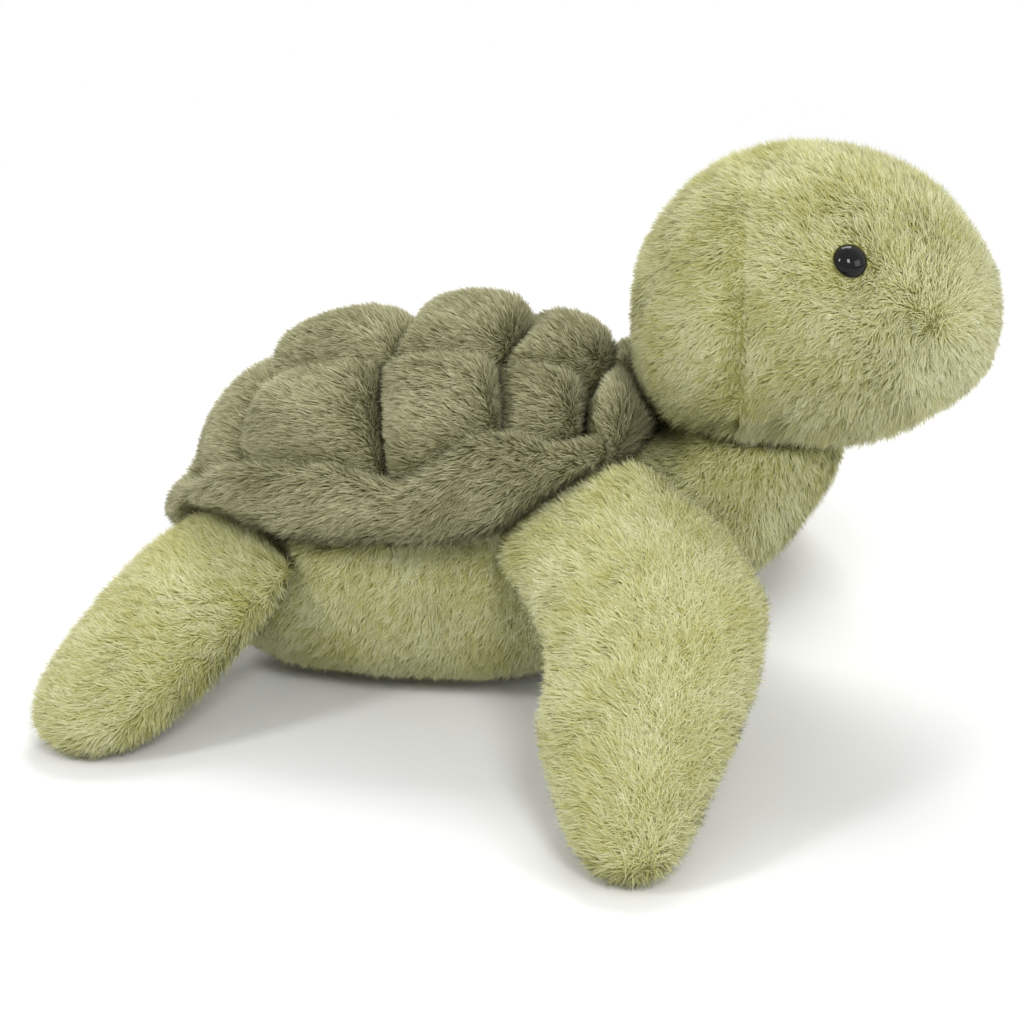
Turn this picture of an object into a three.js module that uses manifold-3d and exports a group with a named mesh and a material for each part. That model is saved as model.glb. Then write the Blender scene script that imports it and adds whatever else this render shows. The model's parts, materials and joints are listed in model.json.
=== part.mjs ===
// Plush sea turtle that lies on its belly, head raised, with four spread flippers.
// Millimetres, +X towards the nose, +Z up, origin on the resting face under the belly.
// The right side is modelled at -Y and the left side is its mirror image.
import * as THREE from 'three';
import { mergeVertices } from 'three/addons/utils/BufferGeometryUtils.js';
import Module from 'manifold-3d';

const wasm = await Module();
wasm.setup();

// Driving dimensions
const gap = 0.4; // between neighbouring pieces
const travelGap = 1; // round a moving piece
const flatDepth = 0.5; // how far the resting faces are cut flat
const overrun = 60; // past the outside of the toy, for cutters
const weld = 0.0005; // points nearer than this are one point

const cloth = { wall: 5, flipperWall: 4, lining: 2.4 }; // backing cloth with its pile

const body = {
  back: 86, // rear end, behind the origin
  length: 204,
  halfWidth: 66,
  halfHeight: 38,
  bellySeam: 15, // height of the seam between belly and sides
  bellySeamTilt: 8, // degrees
};

const shell = {
  centre: -3, // along X
  height: 61.4, // of the base plane at the centre
  tilt: 11.3, // degrees, front end up
  halfLength: 84,
  halfWidth: 68,
  forward: 6, // of the dome's middle on the base plane
  dome: 62, // height of the dome over the base plane
  padThickness: 10,
  puff: 5,
  valley: 2.6,
  scuteLow: 8, // lower edge of the scutes over the base plane
  neckReach: 66, // front end of the flat base on the body
};

const rim = {
  back: 80,
  front: 88,
  halfWidth: 72,
  halfHeight: 14,
  halfThickness: 10,
  lift: 24, // of the band's middle over the base plane, at most
  squareness: 2.4, // in plan
  padSquareness: 2.2, // across the band
};

const head = {
  back: 72.5, // rear end, ahead of the origin
  length: 129.5,
  middle: 137, // height of the middle
  halfWidth: 53,
  halfHeight: 51.5,
  faceSeam: 112,
};

const neck = { pivotX: 117, pivotZ: 92, ball: 33, slack: 1.2, rimHeight: 2, stem: 16, stemLength: 26 };

const eye = {
  turn: -115, // degrees round the head from its underside
  alongShare: 0.6, // of the head's length
  radius: 6,
  rim: 0.9,
  height: 4.6,
  shaft: 1.7, // radius
  shaftLength: 12,
  sunk: 2.6,
  dimple: 7.4,
};

const washer = { radius: 6.2, thickness: 1.4 };

const pouch = { x: -12, radius: 30, height: 12, lift: 2 };

const frontFlipper = {
  rootX: 62,
  rootY: 54,
  rootZ: 78,
  sweep: 35,
  reach: 144,
  drop: 75,
  halfWidth: 39,
  halfThickness: 18,
  up: 18, // degrees of flap
  down: 25,
};

const rearFlipper = {
  rootX: -50,
  rootY: 51,
  rootZ: 55,
  sweep: -58,
  reach: 71,
  drop: 50.5,
  halfWidth: 30,
  halfThickness: 17,
  up: 18,
  down: 25,
};

const headNod = { up: 8, down: 10 }; // degrees
const headTurn = 20; // degrees each way
const flapStep = 6; // degrees between the places that a flipper's travel is made of
const headStep = { nod: 9, turn: 10 }; // the same for the head

const ringPoints = { body: 20, head: 20, flipper: 12, rim: 8, dome: 24, eye: 16, eyeDome: 5 };
const scuteGrid = { spine: [5, 6], side: [6, 5], tail: [6, 6] }; // rows and columns
const roughness = { cloth: 0.95, washer: 0.5, eye: 0.12 };

// Colours from the photograph
const green = 0xbdbd8b;
const shade = 0x86826a;
const black = 0x0a0908;
const white = 0xe9e7de;
const linen = 0x8f8b70;
const beige = 0xcfc6ae;

// Tables of shares, one row for each ring, from one end to the other
// Body: along, middle height, tilt in degrees, half width, half height, squareness
const bodyShares = [
  [0, 1.3, 0, 0, 0, 2],
  [0.03, 1.24, 0, 0.42, 0.6, 2.2],
  [0.1, 1.12, 0, 0.72, 0.95, 2.4],
  [0.225, 1, 0, 0.92, 1, 2.7],
  [0.4, 1, 0, 1, 1, 2.9],
  [0.57, 1.03, 4, 0.97, 1, 3],
  [0.71, 1.21, 14, 0.9, 1, 3],
  [0.815, 1.43, 34, 0.74, 1, 2.5],
  [0.91, 1.74, 56, 0.59, 0.92, 2.2],
  [0.97, 2.05, 76, 0.5, 0.87, 2],
  [1, 2.32, 86, 0.46, 0.83, 2],
  [1.005, 2.62, 90, 0.45, 0.8, 2],
  [1.005, 2.8, 90, 0, 0, 2],
];

// Head: along, middle height against the head's half height, half width, half height, squareness
const headShares = [
  [0, -0.13, 0, 0, 2],
  [0.03, -0.12, 0.38, 0.42, 2.1],
  [0.085, -0.1, 0.63, 0.66, 2.2],
  [0.18, -0.05, 0.86, 0.86, 2.2],
  [0.3, 0.01, 0.98, 0.98, 2.2],
  [0.44, 0.03, 1, 1.015, 2.2],
  [0.6, 0.03, 0.95, 0.99, 2.2],
  [0.725, 0.02, 0.83, 0.89, 2.2],
  [0.83, 0.01, 0.67, 0.73, 2.2],
  [0.915, -0.06, 0.5, 0.53, 2.2],
  [0.97, -0.1, 0.31, 0.34, 2.1],
  [1, -0.09, 0, 0, 2],
];

// Flippers: sweep, reach, drop, half width, half thickness, chord pitch and yaw in degrees
const frontFlipperShares = [
  [0, 0, 0, 0.74, 0.34, 28, 13],
  [0.17, 0.08, 0.06, 0.85, 0.58, 22, 10],
  [0.54, 0.19, 0.17, 1, 0.8, 14, 6],
  [0.86, 0.33, 0.3, 1.04, 0.96, 8, 2],
  [0.95, 0.48, 0.46, 0.93, 1, 4, 0],
  [0.88, 0.62, 0.61, 0.85, 0.95, 2, 0],
  [0.9, 0.74, 0.74, 0.68, 0.85, 0, 0],
  [0.95, 0.85, 0.85, 0.52, 0.71, 0, 0],
  [0.98, 0.925, 0.92, 0.35, 0.52, 0, 0],
  [0.98, 0.97, 0.96, 0, 0, 0, 0],
];
const rearFlipperShares = [
  [0, 0, 0, 0.82, 0.36, -18, -46],
  [0.16, 0.15, 0.13, 0.95, 0.66, -20, -45],
  [0.36, 0.34, 0.33, 1, 0.95, -20, -45],
  [0.56, 0.55, 0.56, 0.98, 1, -18, -44],
  [0.75, 0.76, 0.76, 0.86, 0.9, -14, -42],
  [0.9, 0.91, 0.88, 0.62, 0.68, -10, -40],
  [0.97, 0.97, 0.92, 0.38, 0.42, -8, -40],
  [1, 1, 0.94, 0, 0, -8, -40],
];

// Rim: turn from the tail in degrees, lift, half height, half thickness
const rimShares = [
  [0, 0.3, 0.64, 0.82],
  [16, 0.44, 0.62, 0.82],
  [32, 0.66, 0.58, 0.82],
  [48, 0.97, 0.6, 0.82],
  [60, 0.97, 0.82, 0.9],
  [72, 0.88, 0.98, 1],
  [84, 0.78, 1.02, 1],
  [95, 0.5, 0.84, 0.95],
  [104, 0.6, 1.14, 1],
  [113, 0.7, 1.36, 1.04],
  [122, 0.75, 1.02, 0.97],
  [132, 0.64, 0.7, 0.86],
  [141, 0.6, 0.58, 0.78],
  [148, 0.62, 0.55, 0.72],
];
const collarShares = [
  [148.5, 0.64, 0.6, 0.72],
  [155, 0.84, 0.92, 0.88],
  [168, 0.9, 1.04, 0.95],
  [180, 0.9, 1.04, 0.95],
];

// Scutes of the shell in plan: corners and middles of the top and bottom edges,
// as shares of the dome's half length and half width from its middle
const spineScuteShares = {
  rear: {
    top: [[-0.5, -0.27], [-0.53, 0], [-0.5, 0.27]],
    bottom: [[0, -0.36], [0.03, 0], [0, 0.36]],
  },
  middle: {
    top: [[0, -0.36], [0.03, 0], [0, 0.36]],
    bottom: [[0.43, -0.38], [0.51, 0], [0.43, 0.38]],
  },
  front: {
    top: [[0.43, -0.38], [0.51, 0], [0.43, 0.38]],
    bottom: [[0.84, -0.24], [0.92, 0], [0.84, 0.24]],
  },
};
const sideScuteShares = {
  rear: {
    top: [[-0.5, -0.27], [-0.26, -0.31], [-0.02, -0.36]],
    bottom: [[-0.68, -0.72], [-0.33, -0.94], [0, -0.99]],
  },
  middle: {
    top: [[-0.02, -0.36], [0.2, -0.39], [0.42, -0.38]],
    bottom: [[0, -0.99], [0.22, -0.965], [0.42, -0.9]],
  },
  front: {
    top: [[0.42, -0.38], [0.64, -0.36], [0.84, -0.24]],
    bottom: [[0.42, -0.9], [0.66, -0.72], [0.84, -0.5]],
  },
};
const tailScuteShares = {
  top: [[-0.5, -0.27], [-0.53, 0], [-0.5, 0.27]],
  bottom: [[-0.68, -0.72], [-0.99, 0], [-0.68, 0.72]],
};
const scuteFlatShare = 0.4; // power that flattens a scute's crown
const tailPuffShare = 0.4; // the tail scute is flatter
const domeSquareness = { length: 2.4, height: 2.2 };
const endShares = [1, 0.75, 0.45, 0.2]; // how much of an inset moves each ring from an end
const nearShare = 0.01; // a step along the head, to find its slope

const radians = THREE.MathUtils.degToRad;
const meshes = new THREE.Group();

// Adds one named piece with its own material
function addPiece(name, geometry, color, rough = roughness.cloth) {
  const shaded = geometry.index ? geometry.toNonIndexed() : geometry;
  shaded.computeVertexNormals();
  const material = new THREE.MeshStandardMaterial({ color, roughness: rough, metalness: 0 });
  const mesh = new THREE.Mesh(shaded, material);
  mesh.name = name;
  meshes.add(mesh);
}

// Signed volume of a welded mesh, positive when its faces point out
function signedVolume(geometry) {
  const points = geometry.attributes.position;
  const corners = geometry.index.array;
  const [a, b, c] = [new THREE.Vector3(), new THREE.Vector3(), new THREE.Vector3()];
  let sum = 0;
  for (let i = 0; i < corners.length; i += 3) {
    a.fromBufferAttribute(points, corners[i]);
    b.fromBufferAttribute(points, corners[i + 1]);
    c.fromBufferAttribute(points, corners[i + 2]);
    sum += a.dot(b.cross(c));
  }
  return sum;
}

// One welded closed mesh from a list of triangles, with its faces pointing out
function closedMesh(triangles) {
  const loose = new THREE.BufferGeometry().setFromPoints(triangles.flat());
  const welded = mergeVertices(loose, weld);
  const corners = welded.index.array;
  const kept = [];
  for (let i = 0; i < corners.length; i += 3) {
    const [a, b, c] = [corners[i], corners[i + 1], corners[i + 2]];
    if (a !== b && b !== c && c !== a) kept.push(a, b, c);
  }
  welded.setIndex(kept);
  if (signedVolume(welded) < 0) welded.setIndex(kept.reverse());
  return welded;
}

// Triangles over a grid of points, rows by columns, with the other diagonal from a column on
function gridTriangles(grid, mirrorAt = grid[0].length) {
  const triangles = [];
  for (let i = 0; i + 1 < grid.length; i += 1) {
    for (let j = 0; j + 1 < grid[i].length; j += 1) {
      const [a, b] = [grid[i][j], grid[i][j + 1]];
      const [c, d] = [grid[i + 1][j + 1], grid[i + 1][j]];
      if (j < mirrorAt) triangles.push([a, b, c], [a, c, d]);
      else triangles.push([a, b, d], [b, c, d]);
    }
  }
  return triangles;
}

function gridOf(rows, columns, pointAt) {
  const grid = [];
  for (let i = 0; i <= rows; i += 1) {
    grid.push(Array.from({ length: columns + 1 }, (_, j) => pointAt(i, j)));
  }
  return grid;
}

// A closed skin whose columns come round and whose end rows are single points
function skin(grid, mirrorAt) {
  return closedMesh(gridTriangles(grid, mirrorAt));
}

// A thick patch between two grids of the same size, with walls along its four edges
function patch(outer, inner, mirrorAt = outer[0].length - 1) {
  const edges = [
    [inner[0], outer[0]],
    [outer.at(-1), inner.at(-1)],
    [outer.map((row) => row[0]), inner.map((row) => row[0])],
    [inner.map((row) => row.at(-1)), outer.map((row) => row.at(-1))],
  ];
  const back = inner.map((row) => [...row].reverse());
  const walls = edges.flatMap((pair) => gridTriangles(pair));
  const backAt = outer[0].length - 1 - mirrorAt;
  return closedMesh([...gridTriangles(outer, mirrorAt), ...gridTriangles(back, backAt), ...walls]);
}

function solidOf(geometry) {
  const plain = geometry.clone();
  plain.deleteAttribute('normal');
  plain.deleteAttribute('uv');
  const welded = mergeVertices(plain, weld);
  const vertProperties = new Float32Array(welded.attributes.position.array);
  const triVerts = new Uint32Array(welded.index.array);
  return new wasm.Manifold(new wasm.Mesh({ numProp: 3, vertProperties, triVerts }));
}

function geometryOf(solid) {
  const { vertProperties, triVerts } = solid.getMesh();
  const geometry = new THREE.BufferGeometry();
  geometry.setAttribute('position', new THREE.BufferAttribute(new Float32Array(vertProperties), 3));
  geometry.setIndex([...triVerts]);
  return geometry;
}

// The first solid without the others
function cut(first, ...others) {
  return others.reduce((rest, other) => rest.subtract(other), first);
}

function mirrored(geometry) {
  const copy = geometry.clone().scale(1, -1, 1);
  copy.setIndex([...copy.index.array].reverse());
  return copy;
}

// A box between two corners, as a solid
function block(low, high) {
  const size = high.map((value, k) => value - low[k]);
  const middle = high.map((value, k) => (value + low[k]) / 2);
  return solidOf(new THREE.BoxGeometry(...size).translate(...middle));
}

const reach = body.length + overrun;
const aboveFloor = block([-reach, -reach, 0], [reach, reach, reach]);

// A point round a ring: turn 0 is its bottom, half a turn its top
function ringPoint(ring, turn, lift = 0) {
  const sine = Math.sin(turn);
  const cosine = Math.cos(turn);
  const power = 2 / ring.squareness;
  const across = Math.sign(sine) * Math.abs(sine) ** power * ring.halfWidth;
  const upward = -Math.sign(cosine) * Math.abs(cosine) ** power * ring.halfHeight;
  return ring.middle.clone().addScaledVector(ring.side, across).addScaledVector(ring.up, upward + lift);
}

// The same rings drawn in by an inset, with the ends drawn in along the form,
// and the line of a closed seam shortened twice as much
function drawnIn(rings, inset) {
  const last = rings.length - 1;
  const ahead = rings[1].middle.clone().sub(rings[0].middle).normalize();
  const behind = rings[last - 1].middle.clone().sub(rings[last].middle).normalize();
  return rings.map((ring, i) => ({
    ...ring,
    middle: ring.middle
      .clone()
      .addScaledVector(ahead, inset * (endShares[i] ?? 0))
      .addScaledVector(behind, inset * (endShares[last - i] ?? 0)),
    halfWidth: ring.halfWidth > 0 ? ring.halfWidth - (ring.halfHeight > 0 ? inset : 2 * inset) : 0,
    halfHeight: ring.halfHeight > 0 ? ring.halfHeight - inset : 0,
  }));
}

// The skin over rings, the same on both sides unless told otherwise
function skinOfRings(rings, count, mirrorAt = count / 2) {
  const turnOf = (j) => ((j % count) / count) * 2 * Math.PI;
  return skin(gridOf(rings.length - 1, count, (i, j) => ringPoint(rings[i], turnOf(j))), mirrorAt);
}

// Half of a hollow form, above or below its middle surface
function halfShell(rings, count, wall, top) {
  const inner = drawnIn(rings, wall);
  const start = top ? Math.PI / 2 : -Math.PI / 2;
  const lift = top ? gap / 2 : -gap / 2;
  const columns = count / 2;
  const pointAt = (set) => (i, j) => ringPoint(set[i], start + (j / columns) * Math.PI, lift);
  const last = rings.length - 1;
  return patch(gridOf(last, columns, pointAt(rings)), gridOf(last, columns, pointAt(inner)));
}

function bodyRings() {
  return bodyShares.map(([along, height, tilt, width, tall, squareness]) => ({
    middle: new THREE.Vector3(along * body.length - body.back, 0, height * body.halfHeight - flatDepth),
    side: new THREE.Vector3(0, 1, 0),
    up: new THREE.Vector3(-Math.sin(radians(tilt)), 0, Math.cos(radians(tilt))),
    halfWidth: width * body.halfWidth,
    halfHeight: tall * body.halfHeight,
    squareness,
  }));
}

function headRings() {
  return headShares.map(([along, height, width, tall, squareness]) => ({
    middle: new THREE.Vector3(head.back + along * head.length, 0, head.middle + height * head.halfHeight),
    side: new THREE.Vector3(0, 1, 0),
    up: new THREE.Vector3(0, 0, 1),
    halfWidth: width * head.halfWidth,
    halfHeight: tall * head.halfHeight,
    squareness,
  }));
}

// Rings of a right flipper, from its root seam outwards
function flipperRings(flipper, shares) {
  const rings = shares.map(([sweep, out, drop, width, thick, pitch, yaw]) => {
    const middle = new THREE.Vector3(
      flipper.rootX + sweep * flipper.sweep,
      -flipper.rootY - out * flipper.reach,
      flipper.rootZ - drop * flipper.drop,
    );
    const level = Math.cos(radians(pitch));
    const side = new THREE.Vector3(
      level * Math.cos(radians(yaw)),
      level * Math.sin(radians(yaw)),
      Math.sin(radians(pitch)),
    );
    const [halfWidth, halfHeight] = [width * flipper.halfWidth, thick * flipper.halfThickness];
    return { middle, side, halfWidth, halfHeight, squareness: 2 };
  });
  rings.forEach((ring, i) => {
    const next = rings[Math.min(i + 1, rings.length - 1)].middle;
    const before = rings[Math.max(i - 1, 0)].middle;
    const along = next.clone().sub(before).normalize();
    ring.up = ring.side.clone().cross(along).normalize();
    if (ring.up.z < 0) ring.up.negate();
  });
  const root = rings[0];
  const inward = root.side.clone().cross(root.up).normalize();
  if (inward.y < 0) inward.negate();
  const close = { ...root, halfWidth: root.halfWidth - root.halfHeight, halfHeight: 0 };
  close.middle = root.middle.clone().addScaledVector(inward, root.halfHeight);
  return [close, ...rings];
}

// A copy turned by degrees about an axis through a point
function turned(geometry, centre, axis, degrees) {
  const spin = new THREE.Matrix4().makeRotationAxis(axis, radians(degrees));
  return geometry
    .clone()
    .translate(-centre.x, -centre.y, -centre.z)
    .applyMatrix4(spin)
    .translate(centre.x, centre.y, centre.z);
}

// The space that a flipper passes through between its limits, with room round it
function flipperTravel(flipper, shares, room) {
  const rings = drawnIn(flipperRings(flipper, shares), -room);
  const form = skinOfRings(rings, ringPoints.flipper, ringPoints.flipper);
  const { middle, side } = flipperRings(flipper, shares)[1];
  const copyAt = (angle) => solidOf(turned(form, middle, side, angle));
  let space = copyAt(flipper.down);
  for (let angle = -flipper.up; angle < flipper.down; angle += flapStep) space = space.add(copyAt(angle));
  return space;
}

const pivot = new THREE.Vector3(neck.pivotX, 0, neck.pivotZ);

function ball(radius) {
  const form = new THREE.SphereGeometry(radius, ringPoints.head, ringPoints.head / 2);
  return solidOf(form.rotateX(Math.PI / 2).translate(pivot.x, pivot.y, pivot.z));
}

// The space that the head passes through between its limits
function headTravel() {
  const outside = solidOf(skinOfRings(drawnIn(headRings(), -travelGap), ringPoints.head));
  const form = geometryOf(outside.subtract(ball(neck.ball - gap)));
  const copies = [];
  for (let nod = -headNod.up; nod <= headNod.down; nod += headStep.nod) {
    const nodded = turned(form, pivot, new THREE.Vector3(0, 1, 0), nod);
    for (let turn = -headTurn; turn <= headTurn; turn += headStep.turn) {
      copies.push(solidOf(turned(nodded, pivot, new THREE.Vector3(0, 0, 1), turn)));
    }
  }
  return copies.reduce((all, copy) => all.add(copy));
}

// The space of all four flippers, with room round it
function flippersTravel(room) {
  const front = flipperTravel(frontFlipper, frontFlipperShares, room);
  const rear = flipperTravel(rearFlipper, rearFlipperShares, room);
  return bothSides(front.add(rear));
}

const travel = headTravel().add(flippersTravel(travelGap));
const pockets = flippersTravel(travelGap + cloth.wall);

// Takes away from a piece what the moving pieces need
function clearOfTravel(solid) {
  return cut(solid, travel);
}

// From the shell's own frame into the toy's
function placeOnShell(point) {
  const spin = new THREE.Matrix4().makeRotationY(-radians(shell.tilt));
  return point.applyMatrix4(spin).add(new THREE.Vector3(shell.centre, 0, shell.height));
}

// The space over the base plane that the shell takes from the body
function shellSpace(lift) {
  const low = new THREE.Vector3(-reach, -reach, lift);
  const high = new THREE.Vector3(shell.neckReach - shell.centre - lift, reach, reach);
  const size = high.clone().sub(low);
  const middle = high.clone().add(low).multiplyScalar(1 / 2);
  const box = new THREE.BoxGeometry(size.x, size.y, size.z).translate(middle.x, middle.y, middle.z);
  box.rotateY(-radians(shell.tilt)).translate(shell.centre, 0, shell.height);
  return solidOf(box);
}

const bodyOutside = solidOf(skinOfRings(bodyRings(), ringPoints.body));
const bodyGrown = solidOf(skinOfRings(drawnIn(bodyRings(), -gap), ringPoints.body));
const bodyBesideShell = bodyGrown.subtract(shellSpace(0));

// The half of space below the belly seam
function belowBellySeam(lift) {
  const box = new THREE.BoxGeometry(2 * reach, 2 * reach, reach).translate(0, 0, lift - reach / 2);
  return solidOf(box.rotateY(-radians(body.bellySeamTilt)).translate(0, 0, body.bellySeam));
}

const neckTop = pivot.z + neck.rimHeight;

function addBody() {
  const inside = solidOf(skinOfRings(drawnIn(bodyRings(), cloth.wall), ringPoints.body / 2));
  const overNeck = block([0, -reach, neckTop], [reach, reach, reach]);
  const hollow = cut(bodyOutside, inside.subtract(pockets), shellSpace(-gap), overNeck);
  const sides = clearOfTravel(hollow.subtract(belowBellySeam(gap / 2)));
  const right = geometryOf(sides.intersect(rightHalf));
  addPiece('body_cover_right', right, green);
  addPiece('body_cover_left', mirrored(right), green);
  const belly = hollow.intersect(belowBellySeam(-gap / 2)).intersect(aboveFloor);
  addPiece('belly_panel', geometryOf(clearOfTravel(belly)), green);
}

// The turning plug of wadding that joins the neck to the head
function plugProfile(grow) {
  const radius = neck.ball - neck.slack + grow;
  const low = neck.rimHeight + gap - grow;
  const points = [new THREE.Vector2(0, -neck.stemLength - grow)];
  points.push(new THREE.Vector2(neck.stem + grow, -neck.stemLength - grow));
  points.push(new THREE.Vector2(neck.stem + grow, low));
  const steps = ringPoints.head / 4;
  const first = Math.asin(low / radius);
  for (let i = 0; i <= steps; i += 1) {
    const angle = first + (i / steps) * (Math.PI / 2 - first);
    points.push(new THREE.Vector2(i < steps ? radius * Math.cos(angle) : 0, radius * Math.sin(angle)));
  }
  const form = new THREE.LatheGeometry(points, ringPoints.head);
  return form.rotateX(Math.PI / 2).translate(pivot.x, 0, pivot.z);
}

function pouchForm(grow) {
  const shape = new THREE.SphereGeometry(1, ringPoints.flipper, ringPoints.flipper / 2).rotateX(Math.PI / 2);
  shape.scale(pouch.radius + grow, pouch.radius + grow, pouch.height / 2 + grow);
  return shape.translate(pouch.x, 0, cloth.wall + pouch.lift + pouch.height / 2);
}

function addBodyFilling() {
  const inside = solidOf(skinOfRings(drawnIn(bodyRings(), cloth.wall + gap), ringPoints.body / 2));
  const overNeck = block([0, -reach, neckTop], [reach, reach, reach]);
  const plugSpace = solidOf(plugProfile(gap));
  const pouchSpace = solidOf(pouchForm(gap));
  const floorOfPouch = block(
    [pouch.x - pouch.radius / 2, -pouch.radius / 2, 0],
    [pouch.x + pouch.radius / 2, pouch.radius / 2, cloth.wall + pouch.lift + pouch.height / 2],
  );
  const filling = cut(inside, shellSpace(-gap), overNeck, plugSpace, pouchSpace, floorOfPouch);
  const clearOfPockets = cut(filling, flippersTravel(travelGap + cloth.wall + gap), travel);
  addPiece('body_stuffing', geometryOf(clearOfPockets), white);
  addPiece('bean_pouch', pouchForm(0), beige);
  addPiece('neck_stuffing', plugProfile(0), white);
}

// A place in the dome's own flat map, from shares of its half length and half width
function domeMap([along, across]) {
  const radius = Math.min(Math.hypot(along, across), 1);
  const spread = radius > 0 ? Math.asin(radius) / radius : 1;
  return new THREE.Vector2(along * spread, across * spread);
}

// The dome's surface at a place of that map, drawn in by an inset
function domePoint(place, inset) {
  const angle = Math.min(place.length(), Math.PI / 2);
  const direction = place.length() > 0 ? place.clone().normalize() : place.clone();
  const spread = Math.sin(angle);
  const fullness = Math.abs(direction.x * spread) ** (2 / domeSquareness.length);
  const x = Math.sign(direction.x) * fullness * (shell.halfLength - inset);
  const y = direction.y * spread * (shell.halfWidth - inset);
  const z = Math.cos(angle) ** (2 / domeSquareness.height) * (shell.dome - inset);
  return placeOnShell(new THREE.Vector3(x + shell.forward, y, z));
}

// A curve through the three places of an edge
function edgePlace(edge, share) {
  const [start, middle, end] = edge.map(domeMap);
  const bend = middle.clone().multiplyScalar(2).sub(start.clone().add(end).multiplyScalar(1 / 2));
  const [first, last] = [start.lerp(bend, share), bend.clone().lerp(end, share)];
  return first.lerp(last, share);
}

// A hump over a share of the way: one in the middle, nothing at both ends
function bulge(share) {
  return Math.sin(share * Math.PI);
}

// One puffed scute, with seams that dip between it and its neighbours
function scuteSolid(shares, rows, columns, puffShare = 1) {
  const margin = gap / shell.halfWidth;
  const within = (k, count) => margin + (k / count) * (1 - 2 * margin);
  const placeAt = (i, j) => {
    const across = within(j, columns);
    const [top, bottom] = [edgePlace(shares.top, across), edgePlace(shares.bottom, across)];
    return top.lerp(bottom, within(i, rows));
  };
  const crown = (i, j) => (bulge(i / rows) * bulge(j / columns)) ** scuteFlatShare;
  const outset = (i, j) => shell.valley - (shell.valley + puffShare * shell.puff) * crown(i, j);
  const outer = gridOf(rows, columns, (i, j) => domePoint(placeAt(i, j), outset(i, j)));
  const inner = gridOf(rows, columns, (i, j) => domePoint(placeAt(i, j), shell.padThickness));
  return cut(solidOf(patch(outer, inner, columns / 2)), bodyBesideShell);
}

// Rings of the padded band, from a table of its turns; it keeps to the dome where it climbs
function bandRings(shares) {
  const power = 2 / rim.squareness;
  const origin = placeOnShell(new THREE.Vector3());
  return shares.map(([turn, lift, height, thickness]) => {
    const [cosine, sine] = [Math.cos(radians(turn)), Math.sin(radians(turn))];
    const length = cosine > 0 ? rim.back : rim.front;
    const spread = Math.sqrt(1 - ((lift * rim.lift) / shell.dome) ** domeSquareness.height);
    const x = -Math.sign(cosine) * Math.abs(cosine) ** power * length * spread;
    const y = -Math.sign(sine) * Math.abs(sine) ** power * rim.halfWidth * spread;
    const outward = new THREE.Vector3(x / length ** 2, y / rim.halfWidth ** 2, 0).normalize();
    return {
      middle: placeOnShell(new THREE.Vector3(x, y, lift * rim.lift)),
      side: placeOnShell(outward).sub(origin),
      up: placeOnShell(new THREE.Vector3(0, 0, 1)).sub(origin),
      halfWidth: thickness * rim.halfThickness,
      halfHeight: height * rim.halfHeight,
      squareness: rim.padSquareness,
    };
  });
}

// A padded band with flat ends, grown by a clearance
function bandSolid(shares, grow) {
  const rings = bandRings(shares);
  const last = rings.length - 1;
  const grown = rings.map((ring) => ({
    ...ring,
    halfWidth: ring.halfWidth + grow,
    halfHeight: ring.halfHeight + grow,
  }));
  const ends = [0, last].map((i) => ({ ...rings[i], halfWidth: 0, halfHeight: 0 }));
  return solidOf(skinOfRings([ends[0], ...grown, ends[1]], ringPoints.rim));
}

const rightHalf = block([-reach, -reach, -reach], [reach, -gap / 2, reach]);

// The dome itself, closed by its base plane, drawn in all round
function domeSolid(inset, lift) {
  const [rows, columns] = [ringPoints.dome / 4, ringPoints.dome];
  const placeAt = (i, j) => {
    const angle = (i / rows) * (Math.PI / 2);
    const turn = ((j % columns) / columns) * 2 * Math.PI;
    return new THREE.Vector2(angle * Math.cos(turn), angle * Math.sin(turn));
  };
  const low = placeOnShell(new THREE.Vector3(shell.forward, 0, 0));
  const grid = gridOf(rows + 1, columns, (i, j) => (i > rows ? low : domePoint(placeAt(i, j), inset)));
  return solidOf(skin(grid, columns / 2)).intersect(shellAbove(lift));
}

// The half of space over the shell's base plane
function shellAbove(lift) {
  const box = new THREE.BoxGeometry(2 * reach, 2 * reach, reach).translate(0, 0, lift + reach / 2);
  return solidOf(box.rotateY(-radians(shell.tilt)).translate(shell.centre, 0, shell.height));
}

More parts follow.
